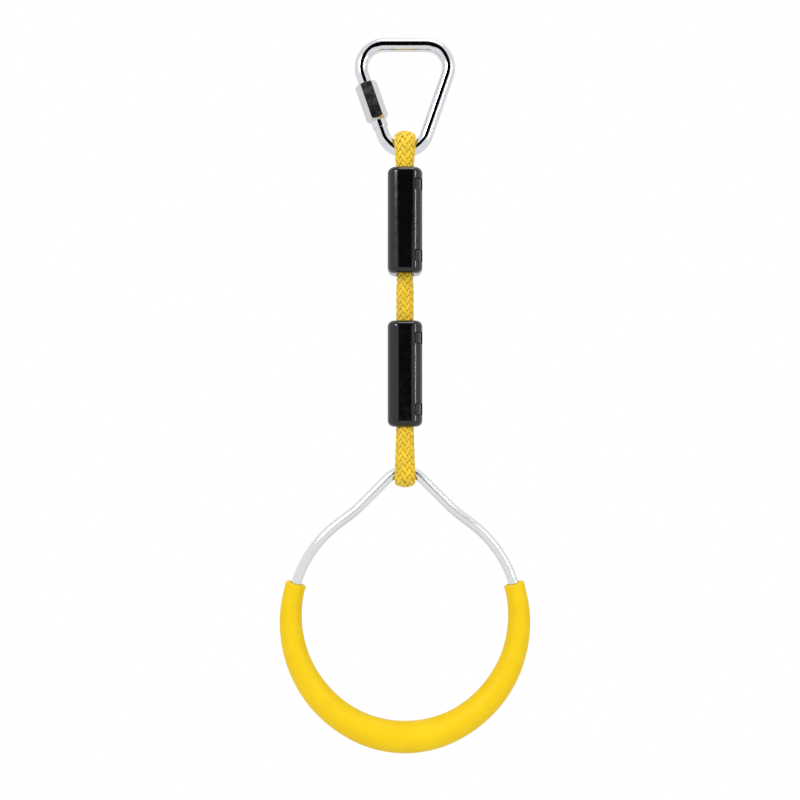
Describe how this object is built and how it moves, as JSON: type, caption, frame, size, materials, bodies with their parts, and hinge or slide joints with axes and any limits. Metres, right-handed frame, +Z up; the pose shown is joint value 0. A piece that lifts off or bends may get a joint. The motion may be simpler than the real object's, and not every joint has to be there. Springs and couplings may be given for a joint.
{
  "type": "hanging gymnastics ring",
  "caption": "Hand ring with a soft grip, hung on a clamped rope from a triangular screw link, for climbing and swinging.",
  "frame": {"origin": "middle of the underside of the screw link's top bar, where the ring hangs from its hook", "axes": "+Z up, +X across the ring, -Y towards the front"},
  "size_m": [0.167, 0.03, 0.4761],
  "materials": {
    "link_steel": "polished zinc-plated steel",
    "nut_steel": "machined and plated steel",
    "rope_fibre": "braided yellow polyester",
    "clamp_plastic": "glossy black moulded plastic",
    "crimp_steel": "plain plated steel",
    "ring_steel": "polished plated steel",
    "grip_rubber": "matt yellow moulded soft grip"
  },
  "bodies": {
    "link": {"link_body": "link_steel"},
    "nut": {"link_nut": "nut_steel"},
    "upper_rope": {"rope_upper": "rope_fibre", "rope_middle": "rope_fibre", "upper_clamp_front": "clamp_plastic", "upper_clamp_back": "clamp_plastic", "upper_crimp_outer": "crimp_steel", "upper_crimp_inner": "crimp_steel"},
    "lower_rope": {"rope_lower": "rope_fibre", "lower_clamp_front": "clamp_plastic", "lower_clamp_back": "clamp_plastic", "lower_crimp_outer": "crimp_steel", "lower_crimp_inner": "crimp_steel"},
    "ring": {"ring_rod": "ring_steel", "ring_grip": "grip_rubber"}
  },
  "joints": [
    {"name": "nut_travel", "type": "slide", "parent": "link", "child": "nut", "axis": [-0.3282, 0, 0.9446], "range_m": [0, 0.01]},
    {"name": "rope_swing", "type": "hinge", "parent": "link", "child": "upper_rope", "pos_m": [0, 0, -0.0659], "axis": [1, 0, 0], "range_deg": [-90, 90]},
    {"name": "rope_bend", "type": "hinge", "parent": "upper_rope", "child": "lower_rope", "pos_m": [0, 0, -0.1642], "axis": [0, 1, 0], "range_deg": [-25, 25], "deforming": ["rope_middle"]},
    {"name": "ring_swing", "type": "hinge", "parent": "lower_rope", "child": "ring", "pos_m": [0, 0, -0.2793], "axis": [1, 0, 0], "range_deg": [-90, 90]}
  ]
}
